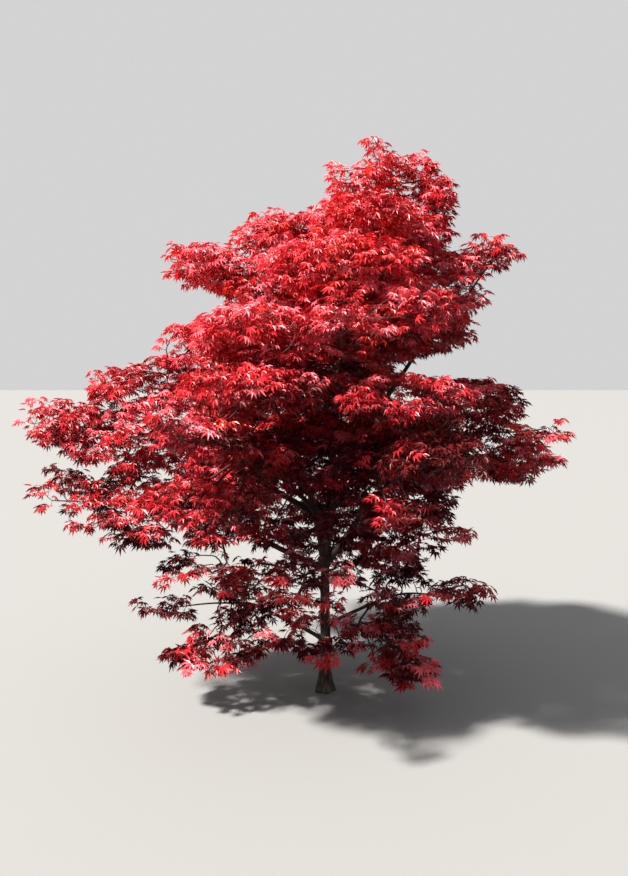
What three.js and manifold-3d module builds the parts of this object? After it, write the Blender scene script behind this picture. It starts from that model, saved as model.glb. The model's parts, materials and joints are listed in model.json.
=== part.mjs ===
// A japanese maple tree in red spring leaf: a slender trunk with a root flare, boughs and layered foliage.
// Sizes are in millimetres. The origin is the middle of the flat cut at ground level, +Z up and -Y the front.
import * as THREE from "three";
import { mergeVertices } from "three/addons/utils/BufferGeometryUtils.js";
import Module from "manifold-3d";

// The trunk runs as one winding leader from the ground to just under the tree's top.
const TREE_HEIGHT = 2300;
const TRUNK_PATH = [
  [0, 0, 0],
  [3, 2, 220],
  [0, 0, 440],
  [4, -4, 640],
  [22, 2, 860],
  [36, 6, 1120],
  [70, 2, 1330],
  [102, -4, 1575],
  [160, 0, 1850],
  [204, 4, 2050],
  [203, 0, 2190],
];
const TRUNK_RADIUS = 25;
const TRUNK_TOP_RADIUS = 4;
const TRUNK_TAPER = 0.8;
const TRUNK_RINGS = 20;
const TRUNK_SIDES = 10;

// The root flare swells the foot of the trunk into a few ridges that die out above it.
const FLARE_RADIUS = 17;
const FLARE_HEIGHT = 150;
const ROOT_RIDGES = 5;
const RIDGE_SHARE = 0.2;

// Each bough leaves its parent at a share of the parent's length and arches to its tip.
// thick is the radius at its foot.
const BOUGHS = {
  left_stem: { from: "trunk", foot: 0.27, tip: [-310, -40, 1690], arch: 60, thick: 17 },
  right_stem: { from: "trunk", foot: 0.36, tip: [775, 0, 1895], arch: 120, thick: 15 },
  far_left: { from: "left_stem", foot: 0.55, tip: [-628, 30, 1850], arch: 230, thick: 9 },
  left_fourth: { from: "left_stem", foot: 0.6, tip: [-955, 60, 1300], arch: 100, thick: 11 },
  left_fifth: { from: "left_stem", foot: 0.16, tip: [-1245, -60, 1170], arch: 130, thick: 14 },
  left_sixth: { from: "trunk", foot: 0.24, tip: [-1135, -200, 870], arch: 90, thick: 13 },
  left_low: { from: "trunk", foot: 0.1, tip: [-760, -110, 395], arch: 90, thick: 9 },
  right_fifth: { from: "trunk", foot: 0.25, tip: [990, 10, 1140], arch: 240, thick: 14 },
  right_low: { from: "trunk", foot: 0.13, tip: [635, -90, 450], arch: 60, thick: 9 },
  front_high: { from: "trunk", foot: 0.47, tip: [60, -760, 1580], arch: 80, thick: 11 },
  front_left: { from: "trunk", foot: 0.33, tip: [-520, -880, 1190], arch: 90, thick: 12 },
  front_right: { from: "trunk", foot: 0.35, tip: [470, -870, 1080], arch: 110, thick: 12 },
  front_low: { from: "trunk", foot: 0.18, tip: [-120, -800, 650], arch: 100, thick: 10 },
  back_high: { from: "trunk", foot: 0.49, tip: [60, 780, 1570], arch: 80, thick: 11 },
  back_left: { from: "trunk", foot: 0.34, tip: [-660, 860, 1180], arch: 100, thick: 12 },
  back_right: { from: "trunk", foot: 0.36, tip: [680, 830, 1090], arch: 110, thick: 12 },
  back_low: { from: "trunk", foot: 0.19, tip: [80, 880, 640], arch: 100, thick: 10 },
};
const BEND_SHARE = 0.45;
const BOUGH_RINGS = 4;
const BOUGH_SIDES = 6;
const BOUGH_TAPER = 0.35;
const BOUGH_INTO_MASS = 0.04;

// bare is the share of a bough that carries no foliage; from there its masses follow one another to the tip.
// wide is the half width of the innermost mass and deep the height of its dome.
const FOLIAGE = {
  left_stem: { bare: 0.66, masses: 1, wide: 220, deep: 170 },
  right_stem: { bare: 0.54, masses: 2, wide: 170, deep: 165 },
  far_left: { bare: 0.5, masses: 1, wide: 150, deep: 125 },
  left_fourth: { bare: 0.05, masses: 2, wide: 300, deep: 240 },
  left_fifth: { bare: 0.22, masses: 3, wide: 290, deep: 185 },
  left_sixth: { bare: 0.36, masses: 2, wide: 270, deep: 170 },
  left_low: { bare: 0.35, masses: 1, wide: 190, deep: 65 },
  right_fifth: { bare: 0.3, masses: 2, wide: 310, deep: 240 },
  right_low: { bare: 0.42, masses: 1, wide: 190, deep: 110 },
  front_high: { bare: 0.24, masses: 2, wide: 330, deep: 150 },
  front_left: { bare: 0.22, masses: 2, wide: 360, deep: 165 },
  front_right: { bare: 0.22, masses: 2, wide: 360, deep: 165 },
  front_low: { bare: 0.34, masses: 1, wide: 320, deep: 125 },
  back_high: { bare: 0.24, masses: 1, wide: 340, deep: 170 },
  back_left: { bare: 0.26, masses: 2, wide: 350, deep: 170 },
  back_right: { bare: 0.26, masses: 2, wide: 350, deep: 170 },
  back_low: { bare: 0.34, masses: 1, wide: 340, deep: 125 },
};

// Masses that sit on the leader or fill the crown between the boughs' own.
const TUFTS = [
  { name: "top_tip", at: [192, 0, TREE_HEIGHT - 143], heading: 80, long: 115, wide: 112, deep: 134 },
  { name: "top_right", at: [392, 10, 2037], heading: 20, long: 115, wide: 130, deep: 185 },
  { name: "top_left", at: [30, -10, 2040], heading: 165, long: 135, wide: 145, deep: 150 },
  { name: "upper_crown", at: [222, 0, 1860], heading: 0, long: 330, wide: 300, deep: 215 },
  { name: "shoulder_left", at: [-205, -20, 1840], heading: 170, long: 185, wide: 210, deep: 180 },
  { name: "middle_crown", at: [110, 0, 1570], heading: 0, long: 440, wide: 360, deep: 190 },
  { name: "right_upper", at: [525, -60, 1575], heading: 12, long: 155, wide: 190, deep: 120 },
  { name: "right_under", at: [800, -30, 960], heading: 352, long: 215, wide: 210, deep: 105 },
  { name: "right_middle", at: [390, -110, 780], heading: 345, long: 170, wide: 210, deep: 135 },
  { name: "left_seventh", at: [-690, -230, 745], heading: 185, long: 215, wide: 190, deep: 105 },
  { name: "bottom_left", at: [-465, -190, 240], heading: 190, long: 185, wide: 170, deep: 125 },
  { name: "bottom_front", at: [15, -165, 285], heading: 270, long: 225, wide: 255, deep: 120 },
  { name: "bottom_right", at: [270, -310, 198], heading: 330, long: 175, wide: 165, deep: 85 },
  { name: "bottom_back", at: [360, 130, 250], heading: 20, long: 210, wide: 200, deep: 115 },
];

// A mass is a lens of foliage with a ragged rim of pointed sprays that droops towards its edge.
const RIM_POINTS = 10;
const RING_SHARES = [0.5, 0.86];
const NOTCH_SHARE = 0.74;
const RIM_WAVER = 0.09;
const CROWN_SHARE = 1.06;
const UNDERSIDE_SHARE = 0.72;
const LUMP_SHARE = 0.22;
const DROOP_SHARE = 0.3;
const OUTER_SHARE = 0.6;
const STEEPEST_PITCH = 0.5;
const MASS_OVERLAP = 1.22;

const FIRST_SEED = 11;

// Solids keep this gap from one another; offsets are settled in a few passes.
const GAP = 0.4;
const OFFSET_PASSES = 12;
const MERGE_STEP = 1e-4;

const BARK = { color: 0x4a3a30, roughness: 0.85, metalness: 0 };
const LEAVES = { color: 0xb3152b, roughness: 0.6, metalness: 0 };

const wasm = await Module();
wasm.setup();

// Repeatable random numbers from 0 to 1.
function randomFrom(seed) {
  let state = seed * 2654435761;
  return () => {
    state = (state + 0x6d2b79f5) | 0;
    let mixed = Math.imul(state ^ (state >>> 15), 1 | state);
    mixed = (mixed + Math.imul(mixed ^ (mixed >>> 7), 61 | mixed)) ^ mixed;
    return ((mixed ^ (mixed >>> 14)) >>> 0) / 4294967296;
  };
}

// Points moved outwards until every face that meets at them lies at least grown clear of where it was.
function movedOut(points, faces, grown) {
  const around = points.map(() => []);
  for (let f = 0; f < faces.length; f += 3) {
    const corners = faces.slice(f, f + 3);
    const normal = new THREE.Triangle(...corners.map((i) => points[i])).getNormal(new THREE.Vector3());
    for (const i of corners) around[i].push(normal);
  }
  return points.map((point, i) => {
    const move = new THREE.Vector3();
    for (let pass = 0; pass < OFFSET_PASSES; pass++) {
      for (const normal of around[i]) move.addScaledVector(normal, Math.max(0, grown - normal.dot(move)));
    }
    return move.add(point);
  });
}

// A closed solid from rings of equal point count, with a fan over each end, set grown larger all round.
function solidFromRings(rings, firstCentre, lastCentre, grown) {
  const count = rings[0].length;
  const points = [firstCentre, ...rings.flat(), lastCentre];
  const last = points.length - 1;
  const faces = [];
  for (let k = 0; k < count; k++) {
    const next = (k + 1) % count;
    faces.push(0, 1 + next, 1 + k);
    for (let r = 0; r + 1 < rings.length; r++) {
      const low = 1 + r * count;
      const high = low + count;
      faces.push(low + k, low + next, high + next, low + k, high + next, high + k);
    }
    const top = 1 + (rings.length - 1) * count;
    faces.push(last, top + k, top + next);
  }
  const placed = grown > 0 ? movedOut(points, faces, grown) : points;
  return new wasm.Manifold(
    new wasm.Mesh({
      numProp: 3,
      vertProperties: new Float32Array(placed.flatMap((p) => [p.x, p.y, p.z])),
      triVerts: new Uint32Array(faces),
    }),
  );
}

// A round limb along a curve; radiusAt(share, angle) gives its radius.
function limb(curve, ringCount, sides, radiusAt, endShare, grown) {
  const rings = [];
  let side = new THREE.Vector3(1, 0, 0);
  for (let r = 0; r < ringCount; r++) {
    const share = (endShare * r) / (ringCount - 1);
    const centre = curve.getPointAt(share);
    const along = r === 0 && centre.z === 0 ? new THREE.Vector3(0, 0, 1) : curve.getTangentAt(share);
    side = side.clone().addScaledVector(along, -side.dot(along)).normalize();
    const across = along.clone().cross(side);
    const ring = [];
    for (let k = 0; k < sides; k++) {
      const angle = (2 * Math.PI * k) / sides;
      const radius = radiusAt(share, angle);
      ring.push(
        centre
          .clone()
          .addScaledVector(side, radius * Math.cos(angle))
          .addScaledVector(across, radius * Math.sin(angle)),
      );
    }
    rings.push(ring);
  }
  return solidFromRings(rings, curve.getPointAt(0), curve.getPointAt(endShare), grown);
}

const trunkCurve = new THREE.CatmullRomCurve3(TRUNK_PATH.map((p) => new THREE.Vector3(...p)));
const trunkLength = trunkCurve.getLength();

function trunkSolid(grown) {
  const radiusAt = (share, angle) => {
    const height = share * trunkLength;
    const fade = Math.max(0, 1 - height / FLARE_HEIGHT) ** 2;
    const ridge = 1 + RIDGE_SHARE * fade * Math.cos(ROOT_RIDGES * angle);
    const shaft = TRUNK_RADIUS + (TRUNK_TOP_RADIUS - TRUNK_RADIUS) * share ** TRUNK_TAPER;
    return (shaft + FLARE_RADIUS * fade) * ridge;
  };
  return limb(trunkCurve, TRUNK_RINGS, TRUNK_SIDES, radiusAt, 1, grown);
}

const curves = { trunk: trunkCurve };

// The middle line of a bough: a smooth arch from its foot on the parent to its tip.
function boughCurve(bough) {
  const foot = curves[bough.from].getPointAt(bough.foot);
  const tip = new THREE.Vector3(...bough.tip);
  const bend = foot.clone().lerp(tip, BEND_SHARE);
  bend.z += bough.arch;
  return new THREE.CatmullRomCurve3([foot, bend, tip]);
}

for (const [name, bough] of Object.entries(BOUGHS)) curves[name] = boughCurve(bough);

function boughSolid(name, grown) {
  const radiusAt = (share) => BOUGHS[name].thick * (1 - share * (1 - BOUGH_TAPER));
  const endShare = FOLIAGE[name].bare + BOUGH_INTO_MASS;
  return limb(curves[name], BOUGH_RINGS, BOUGH_SIDES, radiusAt, endShare, grown);
}

// A mass of foliage: rings from its top to its underside, with pointed sprays round the rim.
function massSolid(mass, grown) {
  const random = randomFrom(mass.seed);
  const lean = new THREE.Euler(0, -mass.pitch, mass.turn, "ZYX");
  const centre = new THREE.Vector3(...mass.at);
  const wave = Array.from({ length: RIM_POINTS }, () => random() * 2 - 1);
  const placed = (share, k, height) => {
    const angle = (2 * Math.PI * k) / RIM_POINTS;
    const shifted = share === RING_SHARES[1] ? 1 : 0;
    const notch = (k + shifted) % 2 ? NOTCH_SHARE : 1;
    const reach = k === 0 ? 1 : (1 - (1 - notch) * share) * (1 - RIM_WAVER + RIM_WAVER * wave[k]);
    const lift = height - DROOP_SHARE * mass.deep * share * share;
    const out = share * reach;
    return new THREE.Vector3(mass.long * out * Math.cos(angle), mass.wide * out * Math.sin(angle), lift);
  };
  const ring = (share, depth) =>
    Array.from({ length: RIM_POINTS }, (_, k) => {
      const lump = share < 1 ? 1 + LUMP_SHARE * (random() * 2 - 1) : 1;
      return placed(share, k, depth * lump * Math.sqrt(1 - share * share));
    });
  const top = mass.deep * CROWN_SHARE;
  const under = -mass.deep * UNDERSIDE_SHARE;
  const rings = [
    ...RING_SHARES.map((share) => ring(share, top)),
    ring(1, 0),
    ...RING_SHARES.toReversed().map((share) => ring(share, under)),
  ].toReversed();
  const set = (p) => p.applyEuler(lean).add(centre);
  rings.flat().forEach(set);
  return solidFromRings(rings, set(new THREE.Vector3(0, 0, under)), set(new THREE.Vector3(0, 0, top)), grown);
}

// The masses of one bough, evenly set along it from its bare part to the tip and smaller outwards.
function boughMasses(name) {
  const { bare, masses, wide, deep } = FOLIAGE[name];
  const step = (1 - bare) / masses;
  return Array.from({ length: masses }, (_, i) => {
    const from = curves[name].getPointAt(bare + step * i);
    const to = curves[name].getPointAt(Math.min(1, bare + step * (i + 1)));
    const run = to.clone().sub(from);
    const turn = Math.atan2(run.y, run.x);
    const slope = Math.atan2(run.z, Math.hypot(run.x, run.y));
    const pitch = THREE.MathUtils.clamp(slope, -STEEPEST_PITCH, STEEPEST_PITCH);
    const long = (run.length() / 2) * MASS_OVERLAP;
    const back = new THREE.Vector3(-long, 0, 0).applyEuler(new THREE.Euler(0, -pitch, turn, "ZYX"));
    const centre = i === masses - 1 ? back.add(to) : from.lerp(to, 0.5);
    const size = 1 - ((1 - OUTER_SHARE) * i) / Math.max(1, masses - 1);
    return {
      name: `${name}_leaves_${i + 1}`,
      at: centre.toArray(),
      turn,
      pitch,
      long,
      wide: wide * size,
      deep: deep * size,
    };
  });
}

const masses = [
  ...Object.keys(BOUGHS).flatMap(boughMasses),
  ...TUFTS.map((tuft) => ({
    ...tuft,
    name: `${tuft.name}_leaves`,
    turn: THREE.MathUtils.degToRad(tuft.heading),
    pitch: 0,
  })),
].map((mass, index) => ({ ...mass, seed: index + FIRST_SEED }));

// The largest body of a solid that a cut may have parted.
function largestBody(solid) {
  return solid.decompose().reduce((a, b) => (a.volume() > b.volume() ? a : b));
}

const group = new THREE.Group();
group.name = "japanese_maple_tree";

function addPart(name, solid, finish) {
  const mesh = solid.getMesh();
  let geometry = new THREE.BufferGeometry();
  geometry.setAttribute("position", new THREE.BufferAttribute(mesh.vertProperties, 3));
  geometry.setIndex(new THREE.BufferAttribute(mesh.triVerts, 1));
  geometry = mergeVertices(geometry, MERGE_STEP);
  geometry.computeVertexNormals();
  const part = new THREE.Mesh(geometry, new THREE.MeshStandardMaterial(finish));
  part.name = name;
  group.add(part);
}

// The trunk stays whole; each bough is cut clear of the wood placed before it and of its own first mass.
addPart("trunk", trunkSolid(0), BARK);
let wood = trunkSolid(GAP);
for (const name of Object.keys(BOUGHS)) {
  const firstMass = masses.find((mass) => mass.name === `${name}_leaves_1`);
  const bough = boughSolid(name, 0).subtract(wood).subtract(massSolid(firstMass, GAP));
  addPart(name, largestBody(bough), BARK);
  wood = wood.add(boughSolid(name, GAP).subtract(massSolid(firstMass, 0)));
}

// Each mass is cut clear of the wood that runs through it and of the masses placed before it.
let filled = wood;
for (const mass of masses) {
  const foliage = massSolid(mass, 0).subtract(filled);
  addPart(mass.name, largestBody(foliage), LEAVES);
  filled = filled.add(massSolid(mass, GAP));
}

export default group;
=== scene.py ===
# A japanese maple tree in red spring leaf: bark on the trunk and boughs, and twigs and leaves that grow on
# from them. All lengths are in metres, +Z up and -Y the front.
import json
import math

import bpy
import numpy as np
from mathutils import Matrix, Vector, noise
from mathutils.bvhtree import BVHTree
from mathutils.kdtree import KDTree

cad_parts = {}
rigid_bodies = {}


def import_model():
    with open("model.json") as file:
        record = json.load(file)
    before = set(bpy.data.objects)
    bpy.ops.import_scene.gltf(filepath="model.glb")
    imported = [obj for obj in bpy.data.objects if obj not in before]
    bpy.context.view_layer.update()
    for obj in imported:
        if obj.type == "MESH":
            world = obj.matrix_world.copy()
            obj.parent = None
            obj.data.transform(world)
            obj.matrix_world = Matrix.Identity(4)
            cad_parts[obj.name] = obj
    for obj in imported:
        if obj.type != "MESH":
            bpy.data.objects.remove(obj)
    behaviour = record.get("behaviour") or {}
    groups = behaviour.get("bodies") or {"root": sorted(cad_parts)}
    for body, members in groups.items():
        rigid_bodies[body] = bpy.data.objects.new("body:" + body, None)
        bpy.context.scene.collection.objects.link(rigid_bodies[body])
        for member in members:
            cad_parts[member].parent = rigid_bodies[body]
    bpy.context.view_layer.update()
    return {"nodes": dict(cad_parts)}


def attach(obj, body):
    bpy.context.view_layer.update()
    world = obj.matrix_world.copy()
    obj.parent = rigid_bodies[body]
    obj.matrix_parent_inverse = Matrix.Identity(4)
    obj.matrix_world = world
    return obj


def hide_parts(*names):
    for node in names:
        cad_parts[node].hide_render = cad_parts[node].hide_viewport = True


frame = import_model()

UP = np.array([0.0, 0.0, 1.0])
SEED = 20
TREE_HEIGHT = 2.3

# A length that counts as none, how near to the x axis a limb counts as lying along it, and the litres in a
# cubic metre.
NO_LENGTH = 1e-9
ALONG_X = 0.9
LITRES = 1000

# The trunk winds up from the ground as one leader.
TRUNK_PATH = [
    (0.000, 0.000, 0.000),
    (0.003, 0.002, 0.220),
    (0.000, 0.000, 0.440),
    (0.004, -0.004, 0.640),
    (0.022, 0.002, 0.860),
    (0.036, 0.006, 1.120),
    (0.070, 0.002, 1.330),
    (0.102, -0.004, 1.575),
    (0.160, 0.000, 1.850),
    (0.204, 0.004, 2.050),
    (0.203, 0.000, 2.190),
]
TRUNK_RADIUS = 0.025
TRUNK_TOP_RADIUS = 0.004
TRUNK_TAPER = 0.8
TRUNK_SIDES = 40
TRUNK_RING_STEP = 0.007
FLARE_RADIUS = 0.017
FLARE_HEIGHT = 0.15
ROOT_RIDGES = 5
RIDGE_SHARE = 0.2
BETWEEN_RIDGES = 0.5 * math.pi

# Each bough: its parent, where its foot sits along the parent, its tip, how far it arches, its foot's radius,
# and the share of it that carries no twigs.
BOUGHS = {
    "left_stem": ("trunk", 0.27, (-0.310, -0.040, 1.690), 0.060, 0.017, 0.40),
    "right_stem": ("trunk", 0.36, (0.775, 0.000, 1.895), 0.120, 0.015, 0.40),
    "far_left": ("left_stem", 0.55, (-0.628, 0.030, 1.850), 0.230, 0.009, 0.45),
    "left_fourth": ("left_stem", 0.60, (-0.955, 0.060, 1.300), 0.100, 0.011, 0.05),
    "left_fifth": ("left_stem", 0.16, (-1.245, -0.060, 1.170), 0.130, 0.014, 0.20),
    "left_sixth": ("trunk", 0.24, (-1.135, -0.200, 0.870), 0.090, 0.013, 0.30),
    "left_low": ("trunk", 0.10, (-0.710, -0.110, 0.395), 0.090, 0.009, 0.30),
    "right_fifth": ("trunk", 0.25, (0.990, 0.010, 1.140), 0.240, 0.014, 0.28),
    "right_low": ("trunk", 0.13, (0.635, -0.090, 0.450), 0.060, 0.009, 0.35),
    "front_high": ("trunk", 0.47, (0.060, -0.760, 1.580), 0.080, 0.011, 0.20),
    "front_left": ("trunk", 0.33, (-0.520, -0.880, 1.190), 0.090, 0.012, 0.20),
    "front_right": ("trunk", 0.35, (0.470, -0.870, 1.080), 0.110, 0.012, 0.20),
    "front_low": ("trunk", 0.18, (-0.120, -0.800, 0.650), 0.100, 0.010, 0.30),
    "back_high": ("trunk", 0.49, (0.060, 0.780, 1.570), 0.080, 0.011, 0.20),
    "back_left": ("trunk", 0.34, (-0.660, 0.860, 1.180), 0.100, 0.012, 0.24),
    "back_right": ("trunk", 0.36, (0.680, 0.830, 1.090), 0.110, 0.012, 0.24),
    "back_low": ("trunk", 0.19, (0.080, 0.880, 0.640), 0.100, 0.010, 0.30),
}
BEND_SHARE = 0.45
BOUGH_TIP_SHARE = 0.16
BOUGH_SWAY = 0.022
SWAY_GRIP = 0.25
SWAY_WAVES = 4.5
BOUGHS_APART = 3.7
AXES_APART = 5.3
BOUGH_SIDES = 12
BOUGH_RING_STEP = 0.012
BOUGH_END = 0.95
BOUGH_END_POINTS = 4
SPROUT_STEP = 0.06
COLLAR_SHARE = 0.55
COLLAR_LENGTH = 1.6

# How finely middle lines are sampled, and the fewest points that one keeps.
PATH_STEP = 0.005
CURVE_POINTS = 60
FEWEST_POINTS = 3

# Nothing sprouts from the wood below this height.
LOWEST_SPROUT = 0.30

# The bark's relief is a grain drawn out along the limb, with low lumps over it. Each limb has its own place
# in the noise.
GRAIN_STRETCH = 0.14
GRAIN_FINE = 95.0
GRAIN_COARSE = 26.0
GRAIN_HEIGHT = 0.05
LUMP_HEIGHT = 0.10
LUMP_WIDTH = 0.6
TRUNK_NOISE = 1.0
BOUGH_NOISE = 2.0
NOISE_SLANT = 0.37

# Foliage lies in thin tiers under the top of each mass, fewer buds in each tier than in the one over it.
TIER_STEP = 0.046
TOP_TIER_STEP = 0.034
LOW_TIER_STEP = 0.075
LOW_TIERS = (0.45, 0.85)
TIER_THICKNESS = 0.020
TIER_WAVE = 0.030
TIER_WAVE_MIDDLE = 0.5
TIER_WAVES = 7.0
TIER_THINNING = 0.88
CLEAR_BELOW = 0.026

# Growth comes in clumps: where a slow noise is below the limit for its height, nothing grows.
CLUMPS = np.array([7.5, 7.5, 12.0])
CLUMP_HEIGHTS = [0.15, 0.35, 0.52, 0.75, 1.00, 1.40]
CLUMP_LIMITS = [-0.06, 0.06, 0.12, 0.00, -0.21, -0.28]
LOWEST_BUD = 0.16
BUD_LIFT = 0.014
TRIES_PER_LITRE = 190
BUD_SPACING = 0.016

# Masses waver in depth, so that they aren't smooth balls from the side.
DEPTH_WAVES = 4.5
DEPTH_WAVE = 0.055
DEPTH_KEPT = 0.97

# Deep inside the crown, growth thins out: the cell that depth is counted in, and the share kept at each.
DEPTH_CELL = 0.06
DEPTH_SHARES = [1, 1, 0.75, 0.4, 0.2, 0.1]

# How full the masses are that aren't quite full, by the start of their names.
FULLNESS = {
    "top_left": 0.7,
    "left_low": 0.9,
    "right_low": 0.9,
    "front_low": 0.6,
    "back_low": 0.6,
    "left_seventh": 0.8,
    "right_middle": 0.8,
}

# Foliage thins out downwards, so that it is open low down: the share kept at each height.
THIN_HEIGHTS = [0.15, 0.35, 0.52, 0.75, 1.00]
THIN_SHARES = [0.75, 0.60, 0.50, 0.60, 1.00]

# Loose sprays between the masses: place, half length, half width and half height.
SPRAYS = {
    "far_left_ball": ((-0.49, 0.00, 1.79), 0.14, 0.13, 0.09),
    "left_shoulder": ((-0.47, 0.02, 1.50), 0.19, 0.15, 0.06),
    "left_shoulder_high": ((-0.32, -0.02, 1.65), 0.14, 0.14, 0.06),
    "left_between_high": ((-0.74, -0.06, 0.98), 0.17, 0.14, 0.05),
    "left_between": ((-0.81, -0.08, 0.88), 0.19, 0.15, 0.05),
    "left_sixth_top": ((-1.05, -0.10, 0.93), 0.10, 0.09, 0.04),
    "left_sixth_under": ((-0.90, -0.10, 0.77), 0.17, 0.12, 0.05),
    "left_sixth_low": ((-0.74, -0.08, 0.66), 0.18, 0.13, 0.04),
    "left_upper_inner": ((-0.62, -0.05, 1.23), 0.12, 0.12, 0.05),
    "left_upper_outer": ((-0.92, 0.00, 1.26), 0.08, 0.10, 0.05),
    "left_fifth_inner": ((-0.92, -0.06, 1.02), 0.12, 0.12, 0.04),
    "left_trunk_side": ((-0.20, -0.10, 0.68), 0.12, 0.14, 0.04),
    "left_low_top": ((-0.47, -0.10, 0.32), 0.20, 0.14, 0.04),
    "left_fifth_under": ((-1.02, -0.05, 1.09), 0.18, 0.12, 0.05),
    "left_inner": ((-0.31, -0.12, 0.80), 0.16, 0.15, 0.03),
    "left_under_high": ((-0.42, -0.10, 0.69), 0.24, 0.17, 0.04),
    "left_under_middle": ((-0.52, -0.06, 0.55), 0.23, 0.14, 0.04),
    "left_under_low": ((-0.33, -0.05, 0.46), 0.21, 0.15, 0.03),
    "left_low_under": ((-0.46, -0.14, 0.19), 0.17, 0.13, 0.06),
    "right_inner": ((0.26, -0.10, 0.81), 0.11, 0.13, 0.07),
    "right_under_high": ((0.32, -0.12, 0.64), 0.20, 0.15, 0.04),
    "right_under_low": ((0.37, 0.04, 0.46), 0.18, 0.15, 0.04),
    "bottom_left_inner": ((-0.26, -0.14, 0.27), 0.12, 0.12, 0.05),
    "right_low_edge": ((0.54, -0.05, 0.42), 0.13, 0.12, 0.05),
    "right_under_outer": ((0.48, -0.05, 0.66), 0.14, 0.14, 0.04),
    "right_under_middle": ((0.34, -0.06, 0.56), 0.18, 0.15, 0.035),
    "right_fifth_middle": ((0.62, 0.00, 1.19), 0.22, 0.15, 0.05),
    "right_fifth_low": ((0.78, 0.00, 1.02), 0.18, 0.14, 0.05),
    "right_fifth_top": ((0.58, 0.00, 1.27), 0.20, 0.17, 0.045),
    "right_fifth_outer": ((0.87, 0.00, 1.10), 0.12, 0.12, 0.06),
    "right_tip": ((0.66, -0.02, 1.83), 0.11, 0.10, 0.06),
    "right_notch": ((0.54, -0.03, 1.76), 0.11, 0.12, 0.09),
    "right_stem_front": ((0.40, -0.10, 1.58), 0.16, 0.13, 0.12),
    "right_stem_lower": ((0.30, -0.12, 1.44), 0.09, 0.13, 0.07),
    "left_stem_front": ((-0.21, -0.12, 1.47), 0.15, 0.12, 0.14),
    "top_right_side": ((0.42, 0.00, 2.06), 0.09, 0.12, 0.13),
    "top_middle": ((0.24, -0.02, 2.13), 0.10, 0.11, 0.09),
    "top_left_side": ((-0.08, -0.02, 1.93), 0.12, 0.12, 0.06),
    "top_gap": ((-0.05, -0.05, 1.80), 0.12, 0.12, 0.09),
    "top_band": ((0.19, -0.06, 1.72), 0.31, 0.16, 0.06),
    "front_middle": ((0.01, -0.24, 1.13), 0.25, 0.16, 0.08),
    "centre": ((-0.05, 0.16, 1.11), 0.15, 0.16, 0.11),
    "centre_low": ((0.00, 0.12, 0.98), 0.12, 0.12, 0.05),
    "front_top": ((0.15, -0.26, 1.91), 0.20, 0.14, 0.11),
    "front_high_top": ((0.06, -0.40, 1.74), 0.28, 0.18, 0.11),
    "front_high_left": ((-0.25, -0.46, 1.49), 0.21, 0.20, 0.11),
    "front_high_right": ((0.25, -0.46, 1.57), 0.20, 0.18, 0.11),
    "front_middle_left": ((-0.25, -0.58, 1.30), 0.24, 0.18, 0.09),
    "front_middle_right": ((0.26, -0.56, 1.26), 0.22, 0.18, 0.09),
    "front_between_left": ((-0.42, -0.55, 0.90), 0.24, 0.20, 0.08),
    "front_between_right": ((0.27, -0.54, 0.88), 0.16, 0.18, 0.07),
    "front_low_left": ((-0.40, -0.40, 0.56), 0.22, 0.18, 0.05),
    "front_low_right": ((0.26, -0.42, 0.53), 0.18, 0.18, 0.05),
    "back_top": ((0.15, 0.27, 1.90), 0.22, 0.15, 0.12),
    "back_high_top": ((0.08, 0.42, 1.74), 0.28, 0.18, 0.11),
    "back_high_left": ((-0.32, 0.52, 1.50), 0.26, 0.20, 0.12),
    "back_high_right": ((0.30, 0.52, 1.50), 0.22, 0.20, 0.11),
    "back_middle": ((0.00, 0.62, 1.28), 0.34, 0.20, 0.10),
    "back_between_left": ((-0.40, 0.55, 0.88), 0.28, 0.22, 0.08),
    "back_between_right": ((0.40, 0.55, 0.85), 0.28, 0.22, 0.08),
    "back_low_inner": ((0.05, 0.48, 0.62), 0.24, 0.20, 0.05),
    "back_low_side": ((0.05, 0.30, 0.50), 0.20, 0.18, 0.05),
    "back_trunk_side": ((0.05, 0.27, 0.72), 0.24, 0.17, 0.06),
    "front_low_side": ((-0.10, -0.30, 0.42), 0.20, 0.14, 0.05),
    "front_trunk": ((0.02, -0.34, 0.76), 0.12, 0.12, 0.06),
    "front_left_side": ((-0.24, -0.28, 0.74), 0.14, 0.15, 0.06),
    "front_right_side": ((0.26, -0.28, 0.74), 0.12, 0.15, 0.06),
    "bottom_front_right": ((0.26, -0.30, 0.33), 0.12, 0.12, 0.05),
    "bottom_front_low": ((0.30, -0.32, 0.20), 0.12, 0.12, 0.05),
    "left_shoulder_inner": ((-0.31, 0.00, 1.72), 0.12, 0.12, 0.06),
    "right_notch_low": ((0.55, -0.02, 1.65), 0.09, 0.12, 0.05),
}
SPRAY_FULLNESS = 0.8

# Growth round the end of each bough.
TIP_BUDS = 12
TIP_REACH = 0.02
TIP_SPREAD = 0.025

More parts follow.
